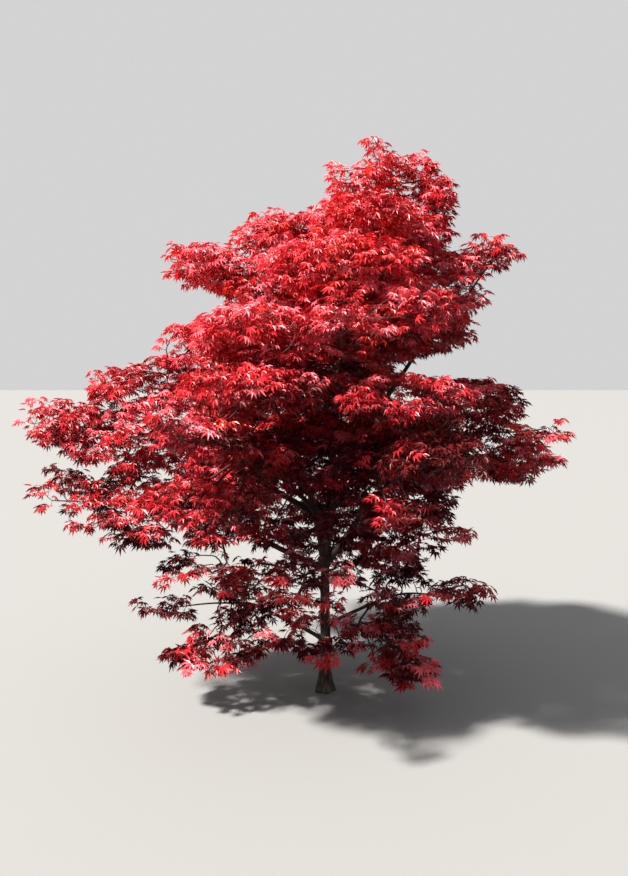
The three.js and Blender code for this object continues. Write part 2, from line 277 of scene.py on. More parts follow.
# Air that stays open in the crown, given as the sprays are.
OPENINGS = {
    "front_right_high": ((0.24, -0.60, 1.30), 0.10, 0.28, 0.05),
    "top_tip": ((0.12, 0.00, 2.26), 0.05, 0.50, 0.07),
    "top_left": ((-0.06, 0.00, 2.11), 0.11, 0.50, 0.11),
    "top_right": ((0.56, 0.00, 2.10), 0.06, 0.50, 0.14),
    "right_upper": ((0.65, 0.00, 1.57), 0.10, 0.50, 0.06),
    "under_right_stem": ((0.50, 0.00, 1.38), 0.21, 0.50, 0.07),
    "beside_right_stem": ((0.37, 0.00, 1.33), 0.14, 0.45, 0.055),
    "right_fifth_top": ((0.96, 0.00, 1.19), 0.18, 0.60, 0.09),
    "right_fifth_tip": ((1.06, 0.00, 1.05), 0.04, 0.60, 0.11),
    "right_fifth_under": ((0.97, 0.00, 0.91), 0.14, 0.70, 0.06),
    "right_between": ((0.54, 0.00, 0.83), 0.07, 0.40, 0.05),
    "right_bottom": ((0.50, 0.00, 0.22), 0.12, 0.50, 0.10),
    "shoulder_high": ((-0.63, 0.00, 1.60), 0.18, 0.60, 0.06),
    "shoulder_notch": ((-0.46, 0.00, 1.65), 0.09, 0.60, 0.04),
    "shoulder_low": ((-0.85, 0.00, 1.44), 0.16, 0.60, 0.08),
    "left_fifth_top": ((-1.19, 0.00, 1.25), 0.11, 0.50, 0.04),
    "left_notch": ((-1.03, 0.00, 1.29), 0.07, 0.50, 0.07),
    "left_sixth_top": ((-1.18, 0.00, 0.94), 0.08, 0.50, 0.04),
    "left_between": ((-0.73, 0.00, 0.55), 0.09, 0.50, 0.06),
    "left_low_tip": ((-0.71, 0.00, 0.17), 0.10, 0.50, 0.11),
}

# Growth towards the buds, drawn from further away where no bud is near. Places are rounded, so that the last
# digits of a sum never steer the growth. A twig is as thick as the tips beyond it need together.
PLACE_DIGITS = 6
STEP = 0.020
REACHES = [0.09, 0.15, 0.24, 0.32]
BUD_DONE = 0.0195
LEVELNESS = 0.7
FOLLOW = 0.55
SWAY = 0.22
MOST_SHOOTS = 2
MOST_POINTS = 40000
MOST_ROUNDS = 160
STRAIGHT_ENOUGH = 0.0012
TWIG_TIP_RADIUS = 0.0009
PIPE_POWER = 2.35
PIPE_GAIN = 1.04
TWIG_SHARE_OF_BOUGH = 0.7
TWIG_SIDES = 3
BRANCH_SIDES = 6
BRANCH_RADIUS = 0.0026

# Leaves grow on the last steps of each twig, with four at its end. Each leaf: its turn from the twig in
# degrees and its size. On a steep twig they face away from the middle of the crown.
END_LEAVES = [(-80, 1.0), (76, 1.0), (-27, 0.95), (30, 0.95)]
WIDE_PAIR = [(-72, 1.0), (72, 1.0)]
NARROW_PAIR = [(-38, 0.9), (42, 0.9)]
TURN_JITTER = 16
LEAF_TILT = -0.10
TILT_JITTER = 0.20
ROLL_JITTER = 0.34
STEEP_TWIG = 0.25
CROWN_MIDDLE = 0.1
LEAFY_STEPS = 3
SPRAY_STEPS = 6
LEAF_SPAN = 0.052
SMALLEST_LEAF = 0.72
LARGEST_LEAF = 1.16
LEAF_SEED = 7
LOW_LEAF_TOP = 1.0
LOW_LEAF_GAIN = 0.22
LEAF_LOBES = [
    # turn from the middle lobe in degrees, length and half width
    (0, 0.64, 0.086),
    (38, 0.58, 0.080),
    (78, 0.46, 0.068),
    (121, 0.25, 0.040),
]
LOBE_WIDEST_AT = 0.46
PETIOLE_RADIUS = 0.010
LEAF_KINDS = [
    # pairs of side lobes, blade's fall in degrees, curl of the lobes, fold along the ribs,
    # petiole's length and rise in degrees
    (2, -6, 0.25, 0.55, 0.44, 20),
    (3, 4, 0.40, 0.65, 0.52, 26),
    (2, 12, 0.55, 0.55, 0.40, 14),
    (3, 26, 0.45, 0.75, 0.55, 30),
    (2, 14, 0.85, 0.60, 0.34, 8),
]
# Leaf tints. The pale rose is painted sunlight and the dark maroon is painted shade; the other three are
# plain reds.
TINTS = {
    "scarlet": (0.80, 0.016, 0.030),
    "crimson": (0.55, 0.004, 0.016),
    "rose": (0.95, 0.150, 0.190),
    "flame": (0.80, 0.032, 0.014),
    "maroon": (0.125, 0.0006, 0.0022),
}
LEAF_ROUGHNESS = 0.45
# Crimson and the dark maroon of painted shade shine less than the other tints.
LEAF_GLOSS = {"crimson": 0.8, "maroon": 0.35}
FULL_GLOSS = 1.0

# How much of the foliage has each tint, in the order above, a row for each height. The shares paint light and
# shade:
# high up and at the very bottom the pale rose, painted sunlight, has a large share, and the dark maroon,
# painted shade, is largest low down and absent at the top.
TINT_HEIGHTS = [0.22, 0.50, 0.85, 1.15, 1.65, 2.00]
TINT_SHARES = np.array([
    [0.08, 0.20, 0.40, 0.00, 0.32],
    [0.00, 0.10, 0.04, 0.00, 0.86],
    [0.07, 0.55, 0.15, 0.02, 0.21],
    [0.10, 0.54, 0.18, 0.02, 0.16],
    [0.32, 0.10, 0.53, 0.05, 0.00],
    [0.34, 0.24, 0.36, 0.06, 0.00],
])

# Below this height the middle and the right lie in the crown's shade, which is painted into their tints: in
# front they take the tints of lower foliage, and further in those of slightly higher foliage.
SHADE_TOP = 1.38
SHADE_FADE = 0.2
SHADE_LEFT = -0.35
SHADE_WIDTH = 0.4
SHADE_DEPTHS = [-0.60, -0.10]
SHADE_DROPS = [0.50, -0.14]

# The pieces of leaves. Each takes the masses and sprays whose names start with one of these, and the first
# that fits counts.
GROUPS = {
    "top": ("top_", "upper_", "right_stem", "right_upper", "right_tip", "right_notch"),
    "shoulder": ("shoulder_", "far_left", "left_stem", "left_shoulder", "left_fourth"),
    "middle": ("middle_", "centre", "front_high", "front_top", "front_middle"),
    "left": ("left_", "bottom_left"),
    "right": ("right_",),
    "front": ("front_", "bottom_front", "bottom_right"),
    "back_high": ("back_high", "back_top"),
    "back": ("back_", "bottom_back"),
}

# Bark: its dark and pale colours, the fineness of its grain and how deep the grain is.
BARK = ((0.035, 0.022, 0.018), (0.24, 0.20, 0.14), 70.0, 0.0015)
TWIG_BARK = ((0.050, 0.012, 0.012), (0.13, 0.05, 0.04), 160.0, 0.0004)
BARK_DETAIL = 6.0
BARK_BREAKUP = 0.6
BARK_STRENGTH = 0.6
DARK_AT = 0.30
PALE_AT = 0.52
PALEST = 0.12
SMOOTHEST = 0.62
ROUGHEST = 0.92
PATCH_SCALE = 9.0
PATCH_DETAIL = 3.0

# What the points of a mesh may carry, and its kind: the place in the bark's grain, a twig's thickness, and a
# leaf's turn, size, kind and tint.
CARRIED = {
    "grain": "FLOAT_VECTOR",
    "thick": "FLOAT",
    "turn": "FLOAT_VECTOR",
    "size": "FLOAT",
    "kind": "INT",
    "tint": "INT",
}

# The studio: a strong lamp on the left and above, soft light that fades towards the floor, a pale floor and
# the camera.
KEY_LIGHT = 9.4
KEY_FROM = (-0.72, -0.34, 0.98)
KEY_SPREAD = 5
KEY_COLOUR = (1.0, 0.97, 0.92)
FILL_LIGHT = 0.62
FILL_TOP = 0.7
LOW_FILL = 0.02
FILL_COLOUR = (0.96, 0.98, 1.0, 1)
WALL_LIGHT = 0.66
WALL_COLOUR = (0.99, 0.99, 1.0, 1)
FLOOR_COLOUR = (0.28, 0.275, 0.27, 1)
FLOOR_ROUGHNESS = 0.9
FLOOR_REACH = 40.0
CAMERA_PLACE = (-0.046, -3.237, 1.390)
CAMERA_DIP = 5.35
SENSOR = 36.0
FOCAL_PIXELS = 780
PICTURE_PIXELS = 876


def unit(vectors):
    """Vectors scaled to length one."""
    lengths = np.linalg.norm(vectors, axis=-1, keepdims=True)
    return vectors / np.maximum(lengths, NO_LENGTH)


def lengths_along(path):
    """How far each point of a path is from its start."""
    return np.r_[0, np.cumsum(np.linalg.norm(np.diff(path, axis=0), axis=1))]


def evenly(path, step):
    """A path as points evenly spaced by about step."""
    length = lengths_along(path)
    even = np.linspace(0, length[-1], max(FEWEST_POINTS, round(length[-1] / step) + 1))
    return np.stack([np.interp(even, length, path[:, k]) for k in range(3)], axis=1)


def curve_through(points, step):
    """A smooth curve through the points, as places evenly spaced by about step."""
    points = [np.array(p, float) for p in points]
    ends = [2 * points[0] - points[1], *points, 2 * points[-1] - points[-2]]
    t = np.linspace(0, 1, CURVE_POINTS, endpoint=False)[:, None]
    square, cube = t * t, t * t * t
    fine = []
    for before, start, end, after in zip(ends, ends[1:], ends[2:], ends[3:]):
        pairs = ((before, start), (start, end), (end, after))
        gaps = [math.sqrt(max(NO_LENGTH, np.linalg.norm(b - a))) for a, b in pairs]
        leave = (start - before) / gaps[0] - (end - before) / (gaps[0] + gaps[1]) + (end - start) / gaps[1]
        arrive = (end - start) / gaps[1] - (after - start) / (gaps[1] + gaps[2]) + (after - end) / gaps[2]
        leave, arrive = leave * gaps[1], arrive * gaps[1]
        fine.append(
            start + leave * t + (3 * (end - start) - 2 * leave - arrive) * square
            + (2 * (start - end) + leave + arrive) * cube
        )
    return evenly(np.vstack([*fine, points[-1]]), step)


def along(path, share):
    """The place at a share of a path's length."""
    at = share * (len(path) - 1)
    low = min(int(at), len(path) - 2)
    return path[low] + (at - low) * (path[low + 1] - path[low])


def swayed(path, seed):
    """A path that wavers a little beyond its foot, as grown wood does."""
    length = PATH_STEP * np.arange(len(path))
    grip = np.clip(length / SWAY_GRIP, 0, 1) ** 2
    waves = [
        [noise.noise(Vector((far * SWAY_WAVES, seed * BOUGHS_APART, AXES_APART * axis))) for axis in range(3)]
        for far in length
    ]
    return path + BOUGH_SWAY * grip[:, None] * np.array(waves)


def wood_paths():
    """The middle line of the trunk and of each bough, sampled finely."""
    paths = {"trunk": curve_through(TRUNK_PATH, PATH_STEP)}
    for name, (parent, foot_share, tip, arch, *_) in BOUGHS.items():
        foot = along(paths[parent], foot_share)
        bend = foot + BEND_SHARE * (np.array(tip) - foot) + arch * UP
        whole = curve_through([foot, bend, tip], PATH_STEP)
        paths[name] = swayed(whole[: round(BOUGH_END * len(whole))], len(paths))
    return paths


def trunk_radius(height, angle):
    """The trunk's radius at a length from the ground, with the ridges of the root flare."""
    share = height / TRUNK_LENGTH
    fade = max(0.0, 1 - height / FLARE_HEIGHT) ** 2
    shaft = TRUNK_RADIUS + (TRUNK_TOP_RADIUS - TRUNK_RADIUS) * share**TRUNK_TAPER
    return (shaft + FLARE_RADIUS * fade) * (1 + RIDGE_SHARE * fade * math.cos(ROOT_RIDGES * angle))


def limb_radius(name, share):
    """The trunk's or a bough's radius at a share of its length."""
    if name == "trunk":
        return trunk_radius(share * TRUNK_LENGTH, BETWEEN_RIDGES)
    *_, foot_radius, _ = BOUGHS[name]
    return foot_radius * (1 - share * (1 - BOUGH_TIP_SHARE))


def placed(name, data):
    """A new object in the scene: a mesh, a lamp or a camera."""
    thing = bpy.data.objects.new(name, data)
    bpy.context.scene.collection.objects.link(thing)
    return thing


def mesh_object(name, vertices, faces=(), edges=(), **carried):
    """A new object, smooth shaded, whose points carry the values that are given by name."""
    mesh = bpy.data.meshes.new(name)
    mesh.from_pydata([tuple(v) for v in vertices], edges, faces)
    for label, values in carried.items():
        kind = CARRIED[label]
        layer = mesh.attributes.new(label, kind, "POINT")
        field = "vector" if kind == "FLOAT_VECTOR" else "value"
        layer.data.foreach_set(field, np.array(values, np.int32 if kind == "INT" else np.float32).ravel())
    mesh.shade_smooth()
    return placed(name, mesh)


def limb_rings(path, sides, radius_at, seed):
    """Rings of bark along a path, closed at both ends: vertices, faces and the grain coordinates."""
    ways = unit(np.gradient(path, axis=0))
    if path[0][2] < NO_LENGTH:
        ways[0] = UP
    side = np.array([1.0, 0.0, 0.0]) if abs(ways[0][0]) < ALONG_X else np.array([0.0, 1.0, 0.0])
    vertices, grain, faces = [], [], []
    for centre, way, far in zip(path, ways, lengths_along(path)):
        side = unit(side - way * side.dot(way))
        across = np.cross(way, side)
        for k in range(sides):
            angle = 2 * math.pi * k / sides
            radius = radius_at(far, angle)
            rim = Vector((math.cos(angle), math.sin(angle), 0)) * radius
            grained = rim + Vector((seed, seed * NOISE_SLANT, far * GRAIN_STRETCH))
            lumped = rim * LUMP_WIDTH + Vector((seed, seed * NOISE_SLANT, far))
            relief = GRAIN_HEIGHT * noise.noise(grained * GRAIN_FINE)
            relief += GRAIN_HEIGHT * noise.noise(grained * GRAIN_COARSE)
            relief += LUMP_HEIGHT * noise.noise(lumped * GRAIN_COARSE)
            radius *= 1 + relief
            vertices.append(centre + side * radius * math.cos(angle) + across * radius * math.sin(angle))
            grain.append(grained)
    top = (len(path) - 1) * sides
    for ring in range(0, top, sides):
        for k in range(sides):
            a, b = ring + k, ring + (k + 1) % sides
            faces.append((a, b, b + sides, a + sides))
    first, last = len(vertices), len(vertices) + 1
    vertices += [path[0], path[-1]]
    grain += [grain[0], grain[-1]]
    for k in range(sides):
        following = (k + 1) % sides
        faces += [(first, following, k), (last, top + k, top + following)]
    return vertices, faces, grain


def trunk_piece(paths):
    """The trunk with its root flare and the bark's relief."""
    path = evenly(paths["trunk"], TRUNK_RING_STEP)
    vertices, faces, grain = limb_rings(path, TRUNK_SIDES, trunk_radius, TRUNK_NOISE)
    return mesh_object("trunk_bark", vertices, faces, grain=grain)


def bough_piece(paths):
    """All boughs as one mesh, each with a collar where it leaves its parent."""
    vertices, faces, grain = [], [], []
    for index, (name, (parent, foot_share, *_)) in enumerate(BOUGHS.items()):
        length = lengths_along(paths[name])[-1]
        buried = limb_radius(parent, foot_share)

        def radius_at(far, _angle):
            shaft = limb_radius(name, far / length)
            collar = math.exp(-max(0.0, far - buried) / (COLLAR_LENGTH * shaft))
            return shaft * (1 + COLLAR_SHARE * collar)

        path = evenly(paths[name], BOUGH_RING_STEP)
        added, added_faces, added_grain = limb_rings(path, BOUGH_SIDES, radius_at, BOUGH_NOISE + index)
        start = len(vertices)
        vertices += added
        grain += added_grain
        faces += [tuple(start + i for i in face) for face in added_faces]
    return mesh_object("bough_bark", vertices, faces, grain=grain)


def mass_nodes():
    """The CAD nodes that stand for masses of foliage."""
    return {name: node for name, node in sorted(frame["nodes"].items()) if "leaves" in name}


def group_of(name):
    """The piece of leaves that a mass, spray or bough belongs to."""
    for group, starts in GROUPS.items():
        if name.startswith(starts):
            return group
    raise ValueError(name)


def tier_step_of(name, node):
    """How far the tiers of a mass are apart: close at the top of the tree, wide low down."""
    if group_of(name) == "top":
        return TOP_TIER_STEP
    middle = np.mean([v.co.z for v in node.data.vertices])
    return LOW_TIER_STEP if LOW_TIERS[0] < middle < LOW_TIERS[1] else TIER_STEP


def buds_in(node, full, tier_step, random):
    """Spots inside a mass, and which of them lie in a thin tier under its top and are to bud."""
    corners = np.array([v.co for v in node.data.vertices])
    faces = [tuple(p.vertices) for p in node.data.polygons]
    tree = BVHTree.FromPolygons([Vector(c) for c in corners], faces)
    low, high = corners.min(0), corners.max(0)
    tries = int(np.prod(high - low) * LITRES * TRIES_PER_LITRE)
    inside, tiered = [], []
    for spot in low + random.random((tries, 3)) * (high - low):
        at = Vector(spot)
        hit, normal, _, depth = tree.ray_cast(at, Vector(UP))
        if hit is None or normal.z <= 0:
            continue
        depth += TIER_WAVE * (TIER_WAVE_MIDDLE + noise.noise(at * TIER_WAVES))
        tier, within = divmod(depth, tier_step)
        _, _, _, height = tree.ray_cast(at, Vector(-UP))
        inside.append(spot)
        near_tier = within < TIER_THICKNESS and (height is None or height > CLEAR_BELOW)
        tiered.append(near_tier and random.random() < full * TIER_THINNING**tier)
    return np.array(inside).reshape(-1, 3), np.array(tiered, bool)


def depths_in(spots):
    """How many cells each spot lies below the surface of what all the spots fill."""
    cells = np.floor((spots - spots.min(0)) / DEPTH_CELL).astype(int) + 1
    depth = np.zeros(cells.max(0) + 2, int)
    layer = np.zeros(depth.shape, bool)
    layer[tuple(cells.T)] = True
    while layer.any():
        depth += layer
        core = layer.copy()
        for axis in range(3):
            core &= np.roll(layer, 1, axis) & np.roll(layer, -1, axis)
        layer = core
    return depth[tuple(cells.T)]


def buds_of_spray(centre, long, wide, deep, random):
    """Places for growth in a loose spray, a flattened ball in thin tiers."""
    litres_of_box = 2**3 * LITRES * long * wide * deep
    tries = int(litres_of_box * TRIES_PER_LITRE * SPRAY_FULLNESS)
    spots = random.uniform(-1, 1, (tries, 3))
    spots = spots[np.linalg.norm(spots, axis=1) < 1]
    top = deep * np.sqrt(1 - spots[:, 0] ** 2 - spots[:, 1] ** 2)
    spots = spots[(top - deep * spots[:, 2]) % TIER_STEP < TIER_THICKNESS]
    return np.array(centre) + spots * (long, wide, deep)


def bough_tips(paths, random):
    """Places for growth round the end of each bough, so that none ends bare, and the group of each."""
    places, groups = [], []
    for name in BOUGHS:
        end = paths[name][-1]
        run = unit(end - paths[name][-BOUGH_END_POINTS])
        places.append(end + TIP_REACH * run + TIP_SPREAD * random.normal(size=(TIP_BUDS, 3)))
        groups += [group_of(name)] * TIP_BUDS
    return np.vstack(places), np.array(groups)


def in_opening(spots):
    """Which of the spots lie in air that stays open."""
    inside = np.zeros(len(spots), bool)
    for centre, *halves in OPENINGS.values():
        inside |= np.linalg.norm((spots - centre) / halves, axis=1) < 1
    return inside


def in_clump(spots):
    """Which of the spots lie where growth is thick."""
    thickness = np.array([noise.noise(Vector(spot * CLUMPS)) for spot in spots])
    return thickness > np.interp(spots[:, 2], CLUMP_HEIGHTS, CLUMP_LIMITS)


def spaced(places, gap):
    """The numbers of the places in order, without those nearer than gap to one already kept."""
    kept, cells = [], {}
    steps = [(dx, dy, dz) for dx in (-1, 0, 1) for dy in (-1, 0, 1) for dz in (-1, 0, 1)]
    for index, place in enumerate(places):
        cell = tuple(int(c // gap) for c in place)
        close = [
            other
            for dx, dy, dz in steps
            for other in cells.get((cell[0] + dx, cell[1] + dy, cell[2] + dz), ())
        ]
        if all(np.dot(place - places[other], place - places[other]) >= gap * gap for other in close):
            cells.setdefault(cell, []).append(index)
            kept.append(index)
    return kept


def crown_buds(paths, random):
    """Places that growth is drawn to, in masses, sprays and round the boughs' ends, and each one's group."""
    buds, tiered, groups = [], [], []
    for name, source in (mass_nodes() | SPRAYS).items():
        if name in SPRAYS:
            spots = buds_of_spray(*source, random)
            in_tier = np.ones(len(spots), bool)
        else:
            full = next((share for start, share in FULLNESS.items() if name.startswith(start)), 1)
            spots, in_tier = buds_in(source, full, tier_step_of(name, source), random)
        buds.append(spots)
        tiered.append(in_tier)
        groups += [group_of(name)] * len(spots)
    buds, tiered, groups = np.vstack(buds), np.concatenate(tiered), np.array(groups)

    share_kept = np.array(DEPTH_SHARES)[np.minimum(depths_in(buds), len(DEPTH_SHARES) - 1)]
    share_kept *= np.interp(buds[:, 2], THIN_HEIGHTS, THIN_SHARES)
    open_air = in_opening(buds) | (buds[:, 2] < LOWEST_BUD)
    chosen = np.flatnonzero(tiered & ~open_air & (random.random(len(buds)) < share_kept))
    chosen = random.permutation(chosen)
    chosen = chosen[in_clump(buds[chosen])]

    tips, tip_groups = bough_tips(paths, random)
    buds, groups = np.vstack([tips, buds[chosen]]), np.r_[tip_groups, groups[chosen]]
    buds[:, 2] += BUD_LIFT * (1 - buds[:, 2] / TREE_HEIGHT)
    waver = np.array([noise.noise(Vector(bud * DEPTH_WAVES)) for bud in buds])
    buds[:, 1] = DEPTH_KEPT * buds[:, 1] + DEPTH_WAVE * waver
    kept = spaced(buds, BUD_SPACING)
    return buds[kept], groups[kept]


def wood_starts(paths):
    """Points on the trunk and boughs that may sprout, with the way the wood runs there and its radius."""
    places, ways, radii = [], [], []
    for name, path in paths.items():
        path = evenly(path, STEP if name == "trunk" else SPROUT_STEP)
        shares = np.linspace(0, 1, len(path))
        run = unit(np.gradient(path, axis=0))
        *_, bare = BOUGHS.get(name, (0,))
        for place, way, share in zip(path, run, shares):
            if share >= bare and place[2] >= LOWEST_SPROUT:
                places.append(place)
                ways.append(way)
                radii.append(limb_radius(name, share))
    return np.array(places), np.array(ways), np.array(radii)


def nearest_of(targets, places):
    """For each target, the index of the nearest place and how far it is."""
    tree = KDTree(len(places))
    for index, place in enumerate(places):
        tree.insert(place, index)
    tree.balance()
    found = [tree.find(target)[1:] for target in targets]
    return np.array([index for index, _ in found], int), np.array([gap for _, gap in found])


def grown(starts, ways, buds, random):
    """Twigs grown step by step from the starts towards the buds: each point's place, way and parent."""
    place, way = np.zeros((2, MOST_POINTS, 3))
    parent = np.full(MOST_POINTS, -1)
    shoots = np.zeros(MOST_POINTS, int)
    count = len(starts)
    place[:count], way[:count] = starts, ways
    near, gaps = nearest_of(buds, starts)
    waiting = gaps > BUD_DONE
    for _ in range(MOST_ROUNDS):
        for reach in REACHES:
            drawn = waiting & (gaps < reach)
            growing = np.unique(near[drawn])
            growing = growing[shoots[growing] < MOST_SHOOTS]
            if len(growing):
                break
        if len(growing) == 0 or count + len(growing) > MOST_POINTS:
            break
        pull = np.zeros((count, 3))
        np.add.at(pull, near[drawn], unit(buds[drawn] - place[near[drawn]]))
        heading = unit(pull[growing]) + FOLLOW * way[growing] + SWAY * random.normal(size=(len(growing), 3))
        heading[:, 2] *= LEVELNESS
        heading = np.round(unit(heading), PLACE_DIGITS)
        fresh = np.round(place[growing] + STEP * heading, PLACE_DIGITS)
        span = slice(count, count + len(growing))
        place[span], way[span], parent[span] = fresh, heading, growing
        shoots[growing] += 1
        open_buds = np.flatnonzero(waiting)
        nearer, closer = nearest_of(buds[open_buds], fresh)
        better = closer < gaps[open_buds]
        near[open_buds[better]] = nearer[better] + count
        gaps[open_buds[better]] = closer[better]
        waiting &= gaps > BUD_DONE
        count += len(growing)
    return place[:count], way[:count], parent[:count]


def twig_sizes(parent, first, wood_radii):
    """Each point's radius, its steps to its furthest tip, and its leading child, or -1."""
    count = len(parent)
    flow, strongest = np.zeros((2, count))
    steps = np.zeros(count, int)
    leader = np.full(count, -1)
    for i in range(count - 1, first - 1, -1):
        if flow[i] == 0:
            flow[i] = TWIG_TIP_RADIUS**PIPE_POWER
        flow[parent[i]] += flow[i] * PIPE_GAIN
        steps[parent[i]] = max(steps[parent[i]], steps[i] + 1)
        if flow[i] > strongest[parent[i]]:
            strongest[parent[i]] = flow[i]
            leader[parent[i]] = i
    radius = flow ** (1 / PIPE_POWER)
    for i in range(first, count):
        limit = wood_radii[parent[i]] * TWIG_SHARE_OF_BOUGH if parent[i] < first else radius[parent[i]]
        radius[i] = min(radius[i], limit)
    return radius, steps, leader


def twig_chains(parent, leader, first):
    """Runs of points from each fork outwards along the leading child."""
    chains = []
    for i in range(first, len(parent)):
        if parent[i] >= first and leader[parent[i]] == i:
            continue
        chain = [parent[i], i]
        while leader[chain[-1]] >= 0:
            chain.append(leader[chain[-1]])
        chains.append(chain)
    return chains


def new_tree(name, inputs):
    """A Geometry Nodes tree that takes and gives a geometry, what its named inputs give, and its result."""
    tree = bpy.data.node_groups.new(name, "GeometryNodeTree")
    for way in ("INPUT", "OUTPUT"):
        tree.interface.new_socket("Geometry", in_out=way, socket_type="NodeSocketGeometry")
    for label, kind, value in inputs:
        socket = tree.interface.new_socket(label, in_out="INPUT", socket_type="NodeSocket" + kind)
        socket.default_value = value
    return tree, tree.nodes.new("NodeGroupInput").outputs, tree.nodes.new("NodeGroupOutput").inputs[0]


def add_node(tree, kind, links=(), output=0, **settings):
    """An output of a new node, whose inputs, by index or name, are linked or set."""
    node = tree.nodes.new(kind)
    for key, value in settings.items():
        setattr(node, key, value)
    for socket, source in dict(links).items():
        if isinstance(source, bpy.types.NodeSocket):
            tree.links.new(source, node.inputs[socket])
        else:
            node.inputs[socket].default_value = source
    return node.outputs[output]


def named(tree, name):
    """The value that the points carry under a name."""
    kind = CARRIED[name]
    return add_node(tree, "GeometryNodeInputNamedAttribute", {"Name": name}, "Attribute", data_type=kind)


def applied(points, tree, **values):
    """The plain mesh that a Geometry Nodes tree makes of a points object, which is then removed."""
    modifier = points.modifiers.new("grow", "NODES")
    modifier.node_group = tree
    sockets = {s.name: s.identifier for s in tree.interface.items_tree if s.in_out == "INPUT"}
    for label, value in values.items():
        modifier[sockets[label]] = value
    bpy.context.view_layer.update()
    evaluated = points.evaluated_get(bpy.context.evaluated_depsgraph_get())
    mesh = bpy.data.meshes.new_from_object(evaluated)
    piece = placed(points.name.removesuffix("_points"), mesh)
    bpy.data.objects.remove(points)
    return piece


def twig_tree(material):
    """Turns runs of edges into round tapering twigs."""
    tree, given, result = new_tree("twig_skin", [("Sides", "Int", TWIG_SIDES)])
    runs = add_node(tree, "GeometryNodeMeshToCurve", {"Mesh": given["Geometry"]})
    ring = add_node(tree, "GeometryNodeCurvePrimitiveCircle", {"Resolution": given["Sides"], "Radius": 1.0})
    skin = add_node(
        tree,
        "GeometryNodeCurveToMesh",
        {"Curve": runs, "Profile Curve": ring, "Scale": named(tree, "thick"), "Fill Caps": True},
    )
    smooth = add_node(tree, "GeometryNodeSetShadeSmooth", {"Geometry": skin})
    real = add_node(tree, "GeometryNodeRealizeInstances", {"Geometry": smooth})
    coat = add_node(tree, "GeometryNodeSetMaterial", {"Geometry": real, "Material": material})
    tree.links.new(coat, result)
    return tree


def straightened(chain, places):
    """A chain without the points that lie almost on the line between their neighbours."""
    kept = chain[:2]
    for point, following in zip(chain[2:], chain[3:]):
        line = unit(places[following] - places[kept[-1]])
        offset = places[point] - places[kept[-1]]
        if np.linalg.norm(offset - line * line.dot(offset)) > STRAIGHT_ENOUGH:
            kept.append(point)
    if chain[-1] != kept[-1]:
        kept.append(chain[-1])
    return kept


def run_object(name, chains, places, radii):
    """Runs of points as edges that carry each point's thickness, and at their foot the next point's."""
    chains = [straightened(chain, places) for chain in chains]
    order = [i for chain in chains for i in chain]
    thick, edges, start = [], [], 0
    for chain in chains:
        edges += [(start + k, start + k + 1) for k in range(len(chain) - 1)]
        thick += [radii[i] for i in chain[1:2] + chain[1:]]
        start += len(chain)
    return mesh_object(name, places[order], edges=edges, thick=thick)


def leaf_mesh(name, paint, lobe_pairs, fall, curl, fold, petiole, rise):
    """One leaf with its petiole: pointed lobes, each keeled along its rib and curling down to its tip."""
    fall, rise = math.radians(fall), math.radians(rise)
    joint = Vector((0, petiole * math.cos(rise), petiole * math.sin(rise)))
    beside = Vector((PETIOLE_RADIUS, 0, 0))
    vertices, faces = [-beside, beside, joint + beside, joint - beside], [(0, 1, 2, 3)]

    def add(turn, reach, across=0.0):
        angle = math.radians(turn)
        x = reach * math.sin(angle) + across * math.cos(angle)
        y = reach * math.cos(angle) - across * math.sin(angle)
        z = fold * abs(across) - curl * reach * reach
        turned = (x, y * math.cos(fall) + z * math.sin(fall), z * math.cos(fall) - y * math.sin(fall))
        vertices.append(joint + Vector(turned))
        return len(vertices) - 1

    centre = add(0, 0)
    for turn, length, wide in LEAF_LOBES[: lobe_pairs + 1]:
        for side in (-1, 1) if turn else (1,):
            tip = add(side * turn, length)
            left = add(side * turn, length * LOBE_WIDEST_AT, -wide)
            right = add(side * turn, length * LOBE_WIDEST_AT, wide)
            faces += [(centre, right, tip), (centre, tip, left)]
    leaf = mesh_object(name, vertices, faces)
    leaf.data.shade_flat()
    leaf.data.materials.append(paint)
    return leaf


def leaf_collection(paint):
    """The kinds of leaf that are dealt out, in a collection of their own."""
    collection = bpy.data.collections.new("leaf_kinds")
    for number, kind in enumerate(LEAF_KINDS):
        leaf = leaf_mesh(f"leaf_kind_{number}", paint, *kind)
        bpy.context.scene.collection.objects.unlink(leaf)
        collection.objects.link(leaf)
    return collection


def leaf_tree(collection, materials):
    """Sets a leaf on each point, turned and sized by what the point carries."""
    inputs = [
        ("Leaf span", "Float", LEAF_SPAN),
        ("Smallest", "Float", SMALLEST_LEAF),
        ("Largest", "Float", LARGEST_LEAF),
        ("Seed", "Int", LEAF_SEED),
    ]
    tree, given, result = new_tree("leaf_spread", inputs)
    kinds = add_node(
        tree,
        "GeometryNodeCollectionInfo",
        {"Collection": collection, "Separate Children": True, "Reset Children": True},
    )
    # Sockets 2 and 3 are the limits of a plain number here, and below the whole numbers that are compared.
    change = add_node(
        tree,
        "FunctionNodeRandomValue",
        {2: given["Smallest"], 3: given["Largest"], "Seed": given["Seed"]},
        output=1,
        data_type="FLOAT",
    )
    span = add_node(tree, "ShaderNodeMath", {0: change, 1: given["Leaf span"]}, operation="MULTIPLY")
    scale = add_node(tree, "ShaderNodeMath", {0: span, 1: named(tree, "size")}, operation="MULTIPLY")
    spread = add_node(
        tree,
        "GeometryNodeInstanceOnPoints",
        {
            "Points": given["Geometry"],
            "Instance": kinds,
            "Pick Instance": True,
            "Instance Index": named(tree, "kind"),
            "Rotation": named(tree, "turn"),
            "Scale": scale,
        },
    )
    leaves = add_node(tree, "GeometryNodeRealizeInstances", {"Geometry": spread})
    tint = named(tree, "tint")
    for number, material in enumerate(materials):
        same = add_node(tree, "FunctionNodeCompare", {2: tint, 3: number}, data_type="INT", operation="EQUAL")
        coat = {"Geometry": leaves, "Selection": same, "Material": material}
        leaves = add_node(tree, "GeometryNodeSetMaterial", coat)
    tree.links.new(leaves, result)
    return tree


